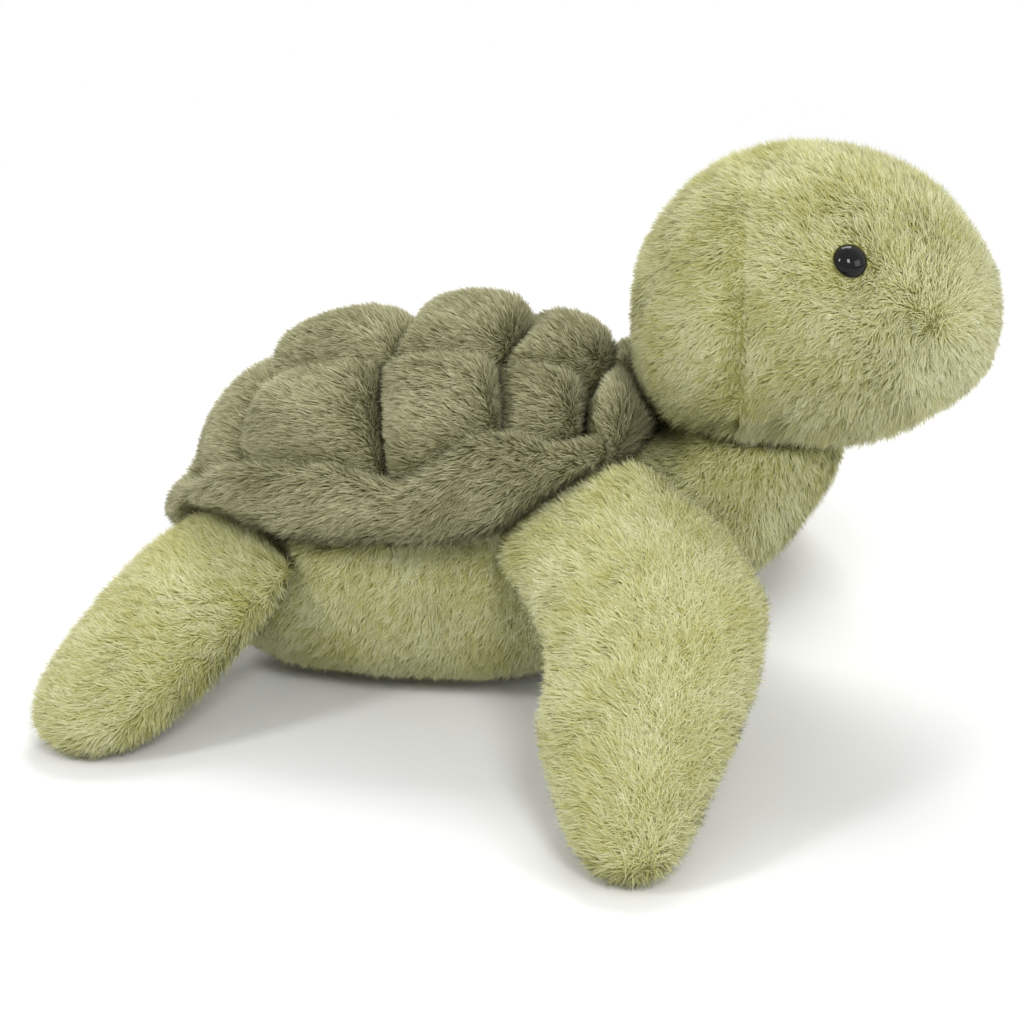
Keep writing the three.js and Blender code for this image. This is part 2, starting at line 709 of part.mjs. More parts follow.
function addShell() {
  const base = cloth.lining;
  const band = bandSolid(rimShares, 0);
  const collarTurns = [...collarShares, ...collarShares.slice(0, -1).reverse().map(acrossTail)];
  const collar = bandSolid(collarTurns, 0);
  const bandSpace = bandSolid(rimShares, gap);
  const padSpace = bothSides(bandSpace).add(bandSolid(collarTurns, gap));

  const bed = domeSolid(shell.padThickness + gap, base + gap);
  addPiece('shell_stuffing', geometryOf(clearOfTravel(cut(bed, bodyBesideShell, padSpace))), white);
  const floor = domeSolid(0, gap).subtract(shellAbove(base));
  addPiece('shell_underside', geometryOf(clearOfTravel(cut(floor, bodyBesideShell, padSpace))), linen);

  const finish = (solid) => clearOfTravel(cut(solid, padSpace).intersect(shellAbove(shell.scuteLow)));
  for (const [place, shares] of Object.entries(spineScuteShares)) {
    addPiece(`spine_scute_${place}`, geometryOf(finish(scuteSolid(shares, ...scuteGrid.spine))), shade);
  }
  for (const [place, shares] of Object.entries(sideScuteShares)) {
    const right = geometryOf(finish(scuteSolid(shares, ...scuteGrid.side)));
    addPiece(`side_scute_${place}_right`, right, shade);
    addPiece(`side_scute_${place}_left`, mirrored(right), shade);
  }
  const tail = scuteSolid(tailScuteShares, ...scuteGrid.tail, tailPuffShare);
  addPiece('tail_scute', geometryOf(finish(tail)), shade);

  const collarOnNeck = cut(collar, bodyBesideShell, ball(neck.ball + gap));
  addPiece('shell_collar', geometryOf(clearOfTravel(collarOnNeck)), shade);
  const rimRight = geometryOf(clearOfTravel(cut(band.intersect(rightHalf), bodyBesideShell)));
  addPiece('shell_rim_right', rimRight, shade);
  addPiece('shell_rim_left', mirrored(rimRight), shade);
}

// The row of a band's table on the other side of the toy
function acrossTail([turn, ...rest]) {
  return [2 * 180 - turn, ...rest];
}

function bothSides(solid) {
  return solid.add(solidOf(mirrored(geometryOf(solid))));
}

// Where the right eye sits and which way it looks
function eyePlace() {
  const [along, turn] = [eye.alongShare, radians(eye.turn)];
  const rings = headRings();
  const at = (share, angle) => {
    const next = rings.findIndex((ring, i) => headShares[i][0] > share);
    const [before, after] = [rings[next - 1], rings[next]];
    const mix = (share - headShares[next - 1][0]) / (headShares[next][0] - headShares[next - 1][0]);
    return ringPoint(before, angle).lerp(ringPoint(after, angle), mix);
  };
  const point = at(along, turn);
  const forward = at(along + nearShare, turn).sub(at(along - nearShare, turn));
  const round = at(along, turn + nearShare).sub(at(along, turn - nearShare));
  const outward = forward.cross(round).normalize();
  if (outward.y > 0) outward.negate();
  return { point, outward };
}

// Turns a shape made along Z to the right eye's place
function placeAtEye(geometry, lift) {
  const { point, outward } = eyePlace();
  const spin = new THREE.Quaternion().setFromUnitVectors(new THREE.Vector3(0, 0, 1), outward);
  const centre = point.addScaledVector(outward, lift);
  return geometry.applyQuaternion(spin).translate(centre.x, centre.y, centre.z);
}

function lathe(profile, count) {
  const points = profile.map(([radius, height]) => new THREE.Vector2(radius, height));
  return new THREE.LatheGeometry(points, count).rotateX(Math.PI / 2);
}

function eyeForm() {
  const profile = [[0, -eye.shaftLength], [eye.shaft, -eye.shaftLength], [eye.shaft, 0], [eye.radius, 0]];
  profile.push([eye.radius, eye.rim]);
  const steps = ringPoints.eyeDome;
  for (let i = 1; i <= steps; i += 1) {
    const angle = (i / steps) * (Math.PI / 2);
    const rise = (eye.height - eye.rim) * Math.sin(angle);
    profile.push([i < steps ? eye.radius * Math.cos(angle) : 0, eye.rim + rise]);
  }
  return placeAtEye(lathe(profile, ringPoints.eye), -eye.sunk);
}

function rod(radius, low, high) {
  const profile = [[0, low], [radius, low], [radius, high], [0, high]];
  return solidOf(placeAtEye(lathe(profile, ringPoints.eye), -eye.sunk));
}

function addHead() {
  const rings = headRings();
  const outside = solidOf(skinOfRings(rings, ringPoints.head));
  const inside = solidOf(skinOfRings(drawnIn(rings, cloth.wall), ringPoints.head / 2));
  const washerTop = eye.sunk - cloth.wall - gap;
  const washerLow = washerTop - washer.thickness;
  const washerSeat = rod(washer.radius + gap, washerLow - cloth.wall, washerTop + gap);
  const dimple = rod(eye.dimple, -gap, eye.dimple);
  const shaftHole = rod(eye.shaft + gap, -2 * cloth.wall, 0);
  const eyeSpace = bothSides(dimple.add(shaftHole).add(washerSeat));
  const hollow = cut(outside, inside, ball(neck.ball), eyeSpace);
  const ahead = block([head.faceSeam + gap / 2, -reach, 0], [2 * reach, reach, 2 * reach]);
  const back = block([-reach, -reach, 0], [head.faceSeam - gap / 2, reach, 2 * reach]);
  addPiece('face_cover', geometryOf(hollow.intersect(ahead)), green);
  addPiece('head_back_cover', geometryOf(hollow.intersect(back)), green);

  const washerSpace = rod(washer.radius + gap, washerLow - gap, washerTop + 2 * cloth.wall);
  const shaftSpace = rod(eye.shaft + gap, -eye.shaftLength - gap, washerTop);
  const core = solidOf(skinOfRings(drawnIn(rings, cloth.wall + gap), ringPoints.head / 2));
  const filling = cut(core, ball(neck.ball), bothSides(washerSpace), bothSides(shaftSpace));
  addPiece('head_stuffing', geometryOf(filling), white);

  const disc = rod(washer.radius, washerLow, washerTop);
  const ring = geometryOf(disc.subtract(rod(eye.shaft + gap / 2, washerLow - gap, washerTop + gap)));
  addPiece('eye_washer_right', ring, white, roughness.washer);
  addPiece('eye_washer_left', mirrored(ring), white, roughness.washer);
  const eyeRight = mergeVertices(eyeForm(), weld);
  addPiece('eye_right', eyeRight, black, roughness.eye);
  addPiece('eye_left', mirrored(eyeRight), black, roughness.eye);
}

function addFlipper(name, flipper, shares) {
  const rings = flipperRings(flipper, shares);
  const count = ringPoints.flipper;
  const onFloor = (geometry) => geometryOf(solidOf(geometry).intersect(aboveFloor));
  const pieces = {
    top: halfShell(rings, count, cloth.flipperWall, true),
    bottom: onFloor(halfShell(rings, count, cloth.flipperWall, false)),
    stuffing: skinOfRings(drawnIn(rings, cloth.flipperWall + gap), count, count),
  };
  for (const [part, geometry] of Object.entries(pieces)) {
    const color = part === 'stuffing' ? white : green;
    addPiece(`${name}_flipper_right_${part}`, geometry, color);
    addPiece(`${name}_flipper_left_${part}`, mirrored(geometry), color);
  }
}

addBody();
addBodyFilling();
addShell();
addHead();
addFlipper('front', frontFlipper, frontFlipperShares);
addFlipper('rear', rearFlipper, rearFlipperShares);

export default meshes;
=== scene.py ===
# Plush sea turtle: stuffed cloth forms with a long soft pile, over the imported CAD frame
import json
import math
import bpy
import numpy as np
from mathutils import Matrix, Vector
from mathutils.kdtree import KDTree

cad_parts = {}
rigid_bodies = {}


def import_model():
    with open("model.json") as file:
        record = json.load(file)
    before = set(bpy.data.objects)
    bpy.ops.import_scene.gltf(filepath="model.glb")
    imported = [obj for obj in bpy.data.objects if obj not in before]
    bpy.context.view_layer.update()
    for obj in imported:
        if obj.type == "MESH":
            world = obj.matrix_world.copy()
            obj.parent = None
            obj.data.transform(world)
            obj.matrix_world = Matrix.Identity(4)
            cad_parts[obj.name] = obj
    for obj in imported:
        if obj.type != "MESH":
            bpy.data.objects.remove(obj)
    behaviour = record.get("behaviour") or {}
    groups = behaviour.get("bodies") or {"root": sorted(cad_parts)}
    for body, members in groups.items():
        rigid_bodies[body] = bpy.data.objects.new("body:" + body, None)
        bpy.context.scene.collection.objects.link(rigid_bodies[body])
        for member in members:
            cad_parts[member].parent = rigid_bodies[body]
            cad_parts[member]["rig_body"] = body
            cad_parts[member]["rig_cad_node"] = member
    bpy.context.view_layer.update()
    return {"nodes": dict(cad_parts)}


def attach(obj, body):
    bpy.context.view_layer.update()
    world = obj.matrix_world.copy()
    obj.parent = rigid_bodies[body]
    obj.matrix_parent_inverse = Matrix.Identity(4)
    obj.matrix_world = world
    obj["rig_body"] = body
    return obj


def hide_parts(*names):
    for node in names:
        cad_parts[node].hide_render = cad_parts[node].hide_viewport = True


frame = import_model()
bpy.ops.object.select_all(action="DESELECT")
scene = bpy.context.scene
mm = 0.001
sides = {"right": -1, "left": 1}

draft = {"share": 1.0, "widen": 1.0}


# Shader maths as Python expressions
class Wire:
    def __init__(self, net, socket):
        self.net = net
        self.socket = socket

    def calc(self, operation, first, second):
        return self.net.node("ShaderNodeMath", {"operation": operation}, {0: first, 1: second})

    def __add__(self, other):
        return self.calc("ADD", self, other)

    def __radd__(self, other):
        return self.calc("ADD", other, self)

    def __sub__(self, other):
        return self.calc("SUBTRACT", self, other)

    def __rsub__(self, other):
        return self.calc("SUBTRACT", other, self)

    def __mul__(self, other):
        return self.calc("MULTIPLY", self, other)

    def __rmul__(self, other):
        return self.calc("MULTIPLY", other, self)


class Net:
    def __init__(self, name):
        self.material = bpy.data.materials.new(name)
        self.material.use_nodes = True
        self.tree = self.material.node_tree
        self.tree.nodes.clear()

    def node(self, kind, settings=None, sockets=None, out=0):
        made = self.tree.nodes.new(kind)
        for key, value in (settings or {}).items():
            if key == "stops":
                ramp = made.color_ramp
                while len(ramp.elements) < len(value):
                    ramp.elements.new(1.0)
                for stop, (place, colour) in zip(ramp.elements, value):
                    stop.position = place
                    stop.color = (*colour, 1.0)
            else:
                setattr(made, key, value)
        for key, value in (sockets or {}).items():
            if isinstance(value, Wire):
                self.tree.links.new(value.socket, made.inputs[key])
            else:
                made.inputs[key].default_value = value
        return Wire(self, made.outputs[out])

    def mix(self, share, first, second):
        # the colour sockets of a Mix node are its seventh and eighth inputs
        sockets = {0: share, 6: first, 7: second}
        return self.node("ShaderNodeMix", {"data_type": "RGBA"}, sockets, out=2)

    def finish(self, shader):
        output = self.tree.nodes.new("ShaderNodeOutputMaterial")
        self.tree.links.new(shader.socket, output.inputs["Surface"])
        return self.material


def linear(red, green, blue):
    # a colour as measured on a screen, from 0 to 255, in the renderer's own values
    shares = (red / 255, green / 255, blue / 255)
    return tuple(v / 12.92 if v <= 0.04045 else ((v + 0.055) / 1.055) ** 2.4 for v in shares)


def rgba(colour):
    return (*colour, 1.0)


# Pile: root, middle and tip colours along a strand, in a darker and a lighter tint; the darker roots are
# painted shade down in the pile and the lighter tips are painted light
greenPileColours = {
    "dark": [linear(162, 161, 86), linear(188, 186, 110), linear(208, 206, 142)],
    "light": [linear(196, 196, 134), linear(224, 224, 174), linear(245, 245, 218)],
    "roughness": 0.8,
    "through": 0.2,
}
shellPileColours = {
    "dark": [linear(94, 91, 57), linear(126, 123, 84), linear(157, 154, 115)],
    "light": [linear(144, 141, 103), linear(192, 189, 149), linear(236, 234, 199)],
    "roughness": 0.8,
    "through": 0.2,
}


def pileMaterial(name, plan):
    net = Net(name)
    place = net.node("ShaderNodeUVMap", {"uv_map": "OFBake"})
    u = net.node("ShaderNodeSeparateXYZ", None, {0: place}, out=0)
    v = net.node("ShaderNodeSeparateXYZ", None, {0: place}, out=1)
    # along the strand the colour runs from painted shade at the root to painted light at the tip
    steps = [0.0, 0.5, 1.0]
    dark = net.node("ShaderNodeValToRGB", {"stops": list(zip(steps, plan["dark"]))}, {0: v})
    light = net.node("ShaderNodeValToRGB", {"stops": list(zip(steps, plan["light"]))}, {0: v})
    colour = net.mix(u, dark, light)
    rough = plan["roughness"] + 0.15 * (1 - v)
    # a hair is shaded alike from both of its sides
    facing = net.node("ShaderNodeNewGeometry", None, None, out=1)
    behind = net.node("ShaderNodeNewGeometry", None, None, out=6)
    outward = net.node("ShaderNodeVectorMath", {"operation": "SCALE"}, {0: facing, "Scale": 1 - 2 * behind})
    shader = net.node("ShaderNodeBsdfPrincipled", None, {
        "Base Color": colour, "Roughness": rough, "Normal": outward, "Specular IOR Level": 0.1})
    # fibres let a little light through
    through = net.node("ShaderNodeBsdfTranslucent", None, {"Color": colour, "Normal": outward})
    return net.finish(net.node("ShaderNodeMixShader", None, {0: plan["through"], 1: shader, 2: through}))


# Cloth: the knitted backing under the pile, the wadding and the pouch
def backingMaterial(name, low, high, stitch=900.0):
    net = Net(name)
    place = net.node("ShaderNodeTexCoord", None, None, out=3)
    blotch = net.node("ShaderNodeTexNoise", None, {"Vector": place, "Scale": 90.0, "Detail": 3.0})
    knit = net.node("ShaderNodeTexVoronoi", None, {"Vector": place, "Scale": stitch})
    colour = net.mix(blotch * 0.7 + knit * 0.3, rgba(low), rgba(high))
    bump = net.node("ShaderNodeBump", None, {"Height": knit, "Strength": 0.5, "Distance": 0.0006})
    shader = net.node("ShaderNodeBsdfPrincipled", None, {
        "Base Color": colour, "Roughness": 0.95 - blotch * 0.1, "Normal": bump, "Specular IOR Level": 0.2})
    return net.finish(shader)


# Moulded plastic, with a clear coat on the eyes
def mouldedMaterial(name, low, high, roughness, coat=0.0):
    net = Net(name)
    place = net.node("ShaderNodeTexCoord", None, None, out=3)
    cloud = net.node("ShaderNodeTexNoise", None, {"Vector": place, "Scale": 240.0, "Detail": 4.0})
    bump = net.node("ShaderNodeBump", None, {"Height": cloud, "Strength": 0.04, "Distance": 0.0002})
    shader = net.node("ShaderNodeBsdfPrincipled", None, {
        "Base Color": net.mix(cloud, rgba(low), rgba(high)), "Roughness": roughness + 0.03 * cloud,
        "Normal": bump, "Specular IOR Level": 0.08,
        "Coat Weight": coat, "Coat Roughness": 0.02, "Coat IOR": 1.4})
    return net.finish(shader)


materials = {
    "greenPile": pileMaterial("greenPile", greenPileColours),
    "shellPile": pileMaterial("shellPile", shellPileColours),
    "greenBacking": backingMaterial("greenBacking", linear(136, 134, 76), linear(156, 154, 94)),
    "shellBacking": backingMaterial("shellBacking", linear(82, 78, 50), linear(102, 98, 68)),
    "wadding": backingMaterial("wadding", linear(226, 222, 210), linear(246, 244, 238), 400.0),
    "pouchCloth": backingMaterial("pouchCloth", linear(196, 184, 156), linear(214, 204, 178)),
    "eyeBlack": mouldedMaterial("eyeBlack", linear(4, 3, 3), linear(9, 7, 6), 0.08, 0.5),
    "washerPlastic": mouldedMaterial("washerPlastic", linear(214, 212, 206), linear(228, 227, 222), 0.45),
}
print("materials ready")


def dress(piece, material):
    piece.data.materials.clear()
    piece.data.materials.append(materials[material])


def arraysOf(piece):
    mesh = piece.data
    mesh.calc_loop_triangles()
    points = np.empty(len(mesh.vertices) * 3)
    mesh.vertices.foreach_get("co", points)
    normals = np.empty(len(mesh.vertices) * 3)
    mesh.vertex_normals.foreach_get("vector", normals)
    corners = np.empty(len(mesh.loop_triangles) * 3, dtype=np.int32)
    mesh.loop_triangles.foreach_get("vertices", corners)
    return points.reshape(-1, 3), normals.reshape(-1, 3), corners.reshape(-1, 3)


def unit(vectors):
    return vectors / np.maximum(np.linalg.norm(vectors, axis=1, keepdims=True), 1e-12)


# A smooth wandering value over space, about one wide, that repeats every few sizes
def drift(seed, size):
    count = 8
    picks = np.random.default_rng(seed)
    ways = unit(picks.normal(size=(count, 3))) * (2 * math.pi / size) * picks.uniform(0.7, 1.4, (count, 1))
    shifts = picks.uniform(0, 2 * math.pi, count)
    return lambda points: np.sin(points @ ways.T + shifts).sum(1) / math.sqrt(count / 2)


# Stuffed cloth form from CAD pieces: joined, remeshed, smoothed and drawn in under the pile
formPlan = {"voxel": 4.5 * mm, "smooth": 5, "weld": 0.01 * mm}
forms = {}


def joinedCopy(name, nodes):
    twins = []
    for node in nodes:
        twin = frame["nodes"][node].copy()
        twin.data = twin.data.copy()
        twin.parent = None
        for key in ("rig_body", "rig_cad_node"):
            del twin[key]
        scene.collection.objects.link(twin)
        twins.append(twin)
    bpy.ops.object.select_all(action="DESELECT")
    for twin in twins:
        twin.select_set(True)
    bpy.context.view_layer.objects.active = twins[0]
    if len(twins) > 1:
        bpy.ops.object.join()
    piece = bpy.context.view_layer.objects.active
    piece.name = name
    piece.data.name = name
    bpy.ops.object.mode_set(mode="EDIT")
    bpy.ops.mesh.select_all(action="SELECT")
    bpy.ops.mesh.remove_doubles(threshold=formPlan["weld"])
    bpy.ops.object.mode_set(mode="OBJECT")
    return piece


def clothForm(name, nodes, body, colour, inset, replaced=(), voxel=None, smooth=None):
    piece = joinedCopy(name, nodes)
    remesh = piece.modifiers.new("remesh", "REMESH")
    remesh.mode = "VOXEL"
    remesh.voxel_size = voxel or formPlan["voxel"]
    even = piece.modifiers.new("even", "SMOOTH")
    even.factor = 0.5
    even.iterations = smooth or formPlan["smooth"]
    drawIn = piece.modifiers.new("drawIn", "DISPLACE")
    drawIn.mid_level = 0.0
    drawIn.strength = -inset
    for modifier in ("remesh", "even", "drawIn"):
        bpy.ops.object.modifier_apply(modifier=modifier)
    bpy.ops.object.shade_smooth()
    dress(piece, f"{colour}Backing")
    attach(piece, body)
    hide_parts(*(replaced or nodes))
    forms[name] = piece


def place(piece, points):
    piece.data.vertices.foreach_set("co", points.ravel())
    piece.data.update()


# Stuffing: cloth simulation with pressure inside every form at once, each point held within a cap
stuffPlan = {"pressure": 4.0, "slack": 0.02, "frames": 20, "cap": 3 * mm}


def stuffForms():
    starts = {name: arraysOf(form)[0] for name, form in forms.items()}
    for form in forms.values():
        cloth = form.modifiers.new("stuffing", "CLOTH")
        cloth.settings.use_pressure = True
        cloth.settings.uniform_pressure_force = stuffPlan["pressure"]
        cloth.settings.shrink_min = -stuffPlan["slack"]
        cloth.settings.effector_weights.gravity = 0
    for number in range(1, stuffPlan["frames"] + 1):
        scene.frame_set(number)
    graph = bpy.context.evaluated_depsgraph_get()
    swollen = {name: arraysOf(form.evaluated_get(graph))[0] for name, form in forms.items()}
    for name, form in forms.items():
        form.modifiers.remove(form.modifiers["stuffing"])
        move = swollen[name] - starts[name]
        far = np.linalg.norm(move, axis=1, keepdims=True)
        place(form, starts[name] + move * np.minimum(1, stuffPlan["cap"] / np.maximum(far, 1e-9)))
    scene.frame_set(1)


def refine(form):
    bpy.ops.object.select_all(action="DESELECT")
    form.select_set(True)
    bpy.context.view_layer.objects.active = form
    finer = form.modifiers.new("finer", "SUBSURF")
    finer.levels = finer.render_levels = 1
    bpy.ops.object.modifier_apply(modifier="finer")


# The middle of the nearest tuft for each point: each cell of space has one, put at random in it
# by a hash of the cell's number
def tuftMiddles(points, cell, seed):
    home = np.floor(points / cell).astype(np.int64)
    nearest = np.full(len(points), np.inf)
    middles = np.zeros_like(points)
    steps = np.array([(x, y, z) for x in (-1, 0, 1) for y in (-1, 0, 1) for z in (-1, 0, 1)])
    for step in steps:
        cellAt = home + step
        mixed = (cellAt[:, 0] * 73856093) ^ (cellAt[:, 1] * 19349663) ^ (cellAt[:, 2] * 83492791) ^ seed
        shuffled = [((mixed * factor) >> 7) % 1021 / 1021.0 for factor in (7919, 104729, 1299709)]
        jitter = np.stack(shuffled, axis=1)
        middle = (cellAt + jitter) * cell
        far = ((middle - points) ** 2).sum(1)
        closer = far < nearest
        nearest[closer] = far[closer]
        middles[closer] = middle[closer]
    return middles


# Pile of the green cloth; the other piles differ from it in a few values
greenPile = {
    "material": "greenPile", "slot": "green_pile",
    "length": 4.9 * mm, "width": 0.52 * mm, "uneven": 0.14,
    "density": 3.5e6,  # hairs for each square metre
    "lean": 54, "leanDrift": 4, "leanSpread": 10,  # degrees from upright
    "tuft": 1.9 * mm, "gather": 0.42,
    "swirl": 14, "swirlSize": 24 * mm, "ruffle": 19, "ruffleSize": 5 * mm, "turnSpread": 16,
    "looseTurn": 80, "looseBelow": 3.6,  # where the flow is weak, hairs point every way
    "standing": 0.14, "standingWidth": 0.6,  # the share that stands up through the rest
    "soft": 0.88,  # how far a hair is shaded as the cloth under it
    "tuftTint": 0.19, "hairTint": 0.24,
}
flipperPile = dict(greenPile, lean=64, leanDrift=3)
shellPile = dict(
    greenPile, material="shellPile", slot="shell_pile", length=4.5 * mm, lean=58, gather=0.18, swirl=9,
    ruffle=11, turnSpread=10, tuftTint=0.13, hairTint=0.28)

# What the hairs of every pile share
hairPlan = {
    "weakLean": 0.85, "flowLean": 0.3, "standingLean": 0.5, "leans": (4, 80),
    "lengths": (-2, 1.6), "widths": (0.7, 1.3), "twist": 0.8, "tipTurn": 0.15,
    "overFloor": 0.25 * mm,
    "tintDrift": 0.1, "tintSize": 30 * mm, "tints": (0.02, 0.98), "tintEnds": (0.015, 0.985),
    "tintWidth": 0.015,
}


def scatter(cloth, density, picks):
    points, normals, corners = arraysOf(cloth)
    a, b, c = (points[corners[:, k]] for k in range(3))
    areas = np.linalg.norm(np.cross(b - a, c - a), axis=1) / 2
    count = int(areas.sum() * density)
    marks = (np.arange(count) + picks.random(count)) / count * areas.sum()
    at = np.minimum(np.searchsorted(np.cumsum(areas), marks), len(areas) - 1)
    first, second = picks.random(count), picks.random(count)
    over = first + second > 1
    first[over], second[over] = 1 - first[over], 1 - second[over]
    shares = np.stack([1 - first - second, first, second], axis=1)[:, :, None]
    return (points[corners[at]] * shares).sum(1), unit((normals[corners[at]] * shares).sum(1))


def comb(root, up, style, flow, seed, picks):
    # the way each hair points: along the flow, turned a little by wandering swirls and ruffles
    count = len(root)
    along = flow(root)
    along = along - up * (along * up).sum(1, keepdims=True)
    strength = np.linalg.norm(along, axis=1, keepdims=True)
    along = unit(along + 1e-9)
    across = np.cross(up, along)
    loose = np.clip(1 - style["looseBelow"] * strength[:, 0], 0, 1)
    turn = np.radians(style["swirl"] * drift(seed + 1, style["swirlSize"])(root)
                      + style["ruffle"] * drift(seed + 2, style["ruffleSize"])(root)
                      + picks.normal(0, 1, count) * (style["turnSpread"] + style["looseTurn"] * loose))
    turn = turn[:, None]
    lean = (style["lean"] + style["leanDrift"] * drift(seed + 3, style["ruffleSize"])(root)
            + picks.normal(0, style["leanSpread"], count))[:, None]
    lean = lean * np.clip(hairPlan["weakLean"] + hairPlan["flowLean"] * strength, 0, 1)
    standing = picks.random(count) < style["standing"]
    lean[standing] *= hairPlan["standingLean"]
    lean = np.radians(np.clip(lean, *hairPlan["leans"]))
    return up * np.cos(lean) + (along * np.cos(turn) + across * np.sin(turn)) * np.sin(lean), standing


def growPile(name, cloth, body, style, flow, seed, keep=None, shorten=None, lighten=None):
    picks = np.random.default_rng(seed)
    root, up = scatter(cloth, style["density"] * draft["share"], picks)
    if keep is not None:
        kept = keep(root, up)
        root, up = root[kept], up[kept]
    count = len(root)
    hair, standing = comb(root, up, style, flow, seed, picks)
    length = style["length"] * (1 + style["uneven"] * picks.normal(0, 1, count).clip(*hairPlan["lengths"]))
    if shorten is not None:
        length *= shorten(root)
    tufts = tuftMiddles(root, style["tuft"], seed)
    pull = tufts - root
    pull -= up * (pull * up).sum(1, keepdims=True)
    tip = root + hair * length[:, None] + pull * style["gather"]

    # each hair is one long thin triangle, its flat side more or less along the cloth
    twist = picks.uniform(-hairPlan["twist"], hairPlan["twist"], count)[:, None]
    flat = unit(np.cross(hair, up))
    flat = flat * np.cos(twist) + np.cross(hair, flat) * np.sin(twist)
    half = style["width"] * draft["widen"] / 2 * picks.uniform(*hairPlan["widths"], count)
    half[standing] *= style["standingWidth"]
    half = half[:, None]
    hairs = np.stack([root - flat * half, root + flat * half, tip], axis=1)
    hairs[:, :, 2] = np.maximum(hairs[:, :, 2], hairPlan["overFloor"])
    mesh = bpy.data.meshes.new(name)
    mesh.vertices.add(count * 3)
    mesh.vertices.foreach_set("co", hairs.astype(np.float32).ravel())
    mesh.loops.add(count * 3)
    mesh.loops.foreach_set("vertex_index", np.arange(count * 3, dtype=np.int32))
    mesh.polygons.add(count)
    mesh.polygons.foreach_set("loop_start", np.arange(0, count * 3, 3, dtype=np.int32))
    mesh.polygons.foreach_set("use_smooth", np.ones(count, dtype=bool))
    mesh.update(calc_edges=True)

    # hairs are shaded mostly as the cloth under them is, which keeps the pile soft
    face = unit(np.cross(flat, hair))
    shaded = unit(up * style["soft"] + face * (1 - style["soft"]) + hair * hairPlan["tipTurn"])
    mesh.normals_split_custom_set_from_vertices(np.repeat(shaded, 3, axis=0).astype(np.float32))

    # v carries the painted shade at the roots and the painted light at the tips
    # u is the tint of a hair, with a narrow width of its own, and v runs from root to tip; the first
    # two hairs hold the two ends, so that every pile spans the same range
    tuftPick = np.sin(tufts @ np.array([91234.5, 57112.3, 73951.7])) * style["tuftTint"]
    tint = 0.5 + hairPlan["tintDrift"] * drift(seed + 5, hairPlan["tintSize"])(root)
    tint = tint + tuftPick + picks.normal(0, style["hairTint"], count)
    # painted light: hairs are made paler where the caller lifts them out of shade
    if lighten is not None:
        tint += lighten(root)
    tint = tint.clip(*hairPlan["tints"])
    tint[:2] = hairPlan["tintEnds"]
    u = tint[:, None] + hairPlan["tintWidth"] * np.array([-1, 1, 0])
    v = np.broadcast_to(np.array([0, 0, 1.0]), u.shape)
    layer = mesh.uv_layers.new(name="OFBake")
    layer.uv.foreach_set("vector", np.stack([u, v], axis=2).astype(np.float32).ravel())

    pile = bpy.data.objects.new(name, mesh)
    scene.collection.objects.link(pile)
    dress(pile, style["material"])
    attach(pile, body)
    print("pile", name, count)


# Every stuffed form, before its stuffing goes in
headNodes = ["face_cover", "head_back_cover", "head_stuffing"]
bodyCovers = ["body_cover_right", "body_cover_left", "belly_panel", "body_stuffing"]
clothForm("headCloth", headNodes + ["neck_stuffing"], "head", "green", replaced=headNodes, inset=3.5 * mm)
clothForm("neckCloth", ["neck_stuffing"], "neck", "green", inset=1.6 * mm)
clothForm("bodyCloth", bodyCovers + ["bean_pouch", "shell_underside", "shell_stuffing"], "body", "green",
          replaced=bodyCovers, inset=3.4 * mm)
for end in ("front", "rear"):
    for side in sides:
        stem = f"{end}_flipper_{side}"
        flipperNodes = [f"{stem}_{part}" for part in ("top", "bottom", "stuffing")]
        clothForm(f"{end}FlipperCloth_{side}", flipperNodes, stem, "green",
                  voxel=4 * mm, smooth=3, inset=2.0 * mm)
clothForm("shellBed", ["shell_stuffing", "shell_underside"], "body", "shell", voxel=4 * mm,
          inset=0.6 * mm)
scutes = ["tail_scute"] + [f"spine_scute_{place}" for place in ("rear", "middle", "front")]
scutes += [f"side_scute_{place}_{side}" for place in ("rear", "middle", "front") for side in sides]
for scute in scutes:
    clothForm(f"{scute}_cloth", [scute], "body", "shell", voxel=2.5 * mm, smooth=4, inset=0.9 * mm)
bands = ["shell_collar", "shell_rim_right", "shell_rim_left"]
for band in bands:
    clothForm(f"{band}_cloth", [band], "body", "shell", voxel=3 * mm, smooth=4, inset=1.2 * mm)
print("forms ready", len(forms))
stuffForms()
print("forms stuffed")
for form in forms.values():
    refine(form)

# Head: face and back panels meet in a soft crease that runs round it, and the eyes sit in shallow
# sockets, on cloth that rises to meet them
headPlan = {
    "seam": 112 * mm, "seamSlant": 0.08,
    "creaseWidth": 5 * mm, "creaseDepth": 4.2 * mm, "creaseShort": 5 * mm, "seamShare": 0.35,
    "creaseTop": 176 * mm, "creaseFade": 30 * mm, "creaseLeft": 0.15, "crownFade": 20 * mm,
    "creaseFoot": 105 * mm, "footFade": 15 * mm,
    "parting": 10 * mm, "partingPull": 0.9,
    "whorl": (182 * mm, 34 * mm, 134 * mm), "whorlFade": 14 * mm, "whorlSize": 9 * mm,
    "bridge": 12 * mm, "cheek": 20 * mm, "fan": 0.9, "faceFall": (-0.1, 0, -0.3),
    "backFall": (-0.75, 0, -0.4), "backSpread": 0.2, "backFade": 20 * mm,
    # painted light on the nose, lifting the shade of its fanned-out roots
    "noseLightPainted": 0.42, "noseLightPaintedSize": 31 * mm,
    "stem": 90 * mm, "foot": 116 * mm, "footSize": 14 * mm, "footLonger": 0.55,
    "socketDepth": 1.4 * mm, "socketPlace": 14 * mm, "socketSize": 6 * mm,
    "bedRise": 2.4 * mm, "bedSize": 8 * mm,
    "eyeBare": 5.2 * mm, "eyeShort": 3 * mm, "eyeFade": 8 * mm, "eyeShare": 0.55,
    "eyeDepth": 4.6 * mm, "eyeReach": 9 * mm, "pastReach": 9,
}


def pastSeam(points):
    return points[:, 0] - headPlan["seam"] - headPlan["seamSlant"] * np.abs(points[:, 1])


def belowCrown(points):
    return (headPlan["creaseTop"] - points[:, 2]) / headPlan["creaseFade"]


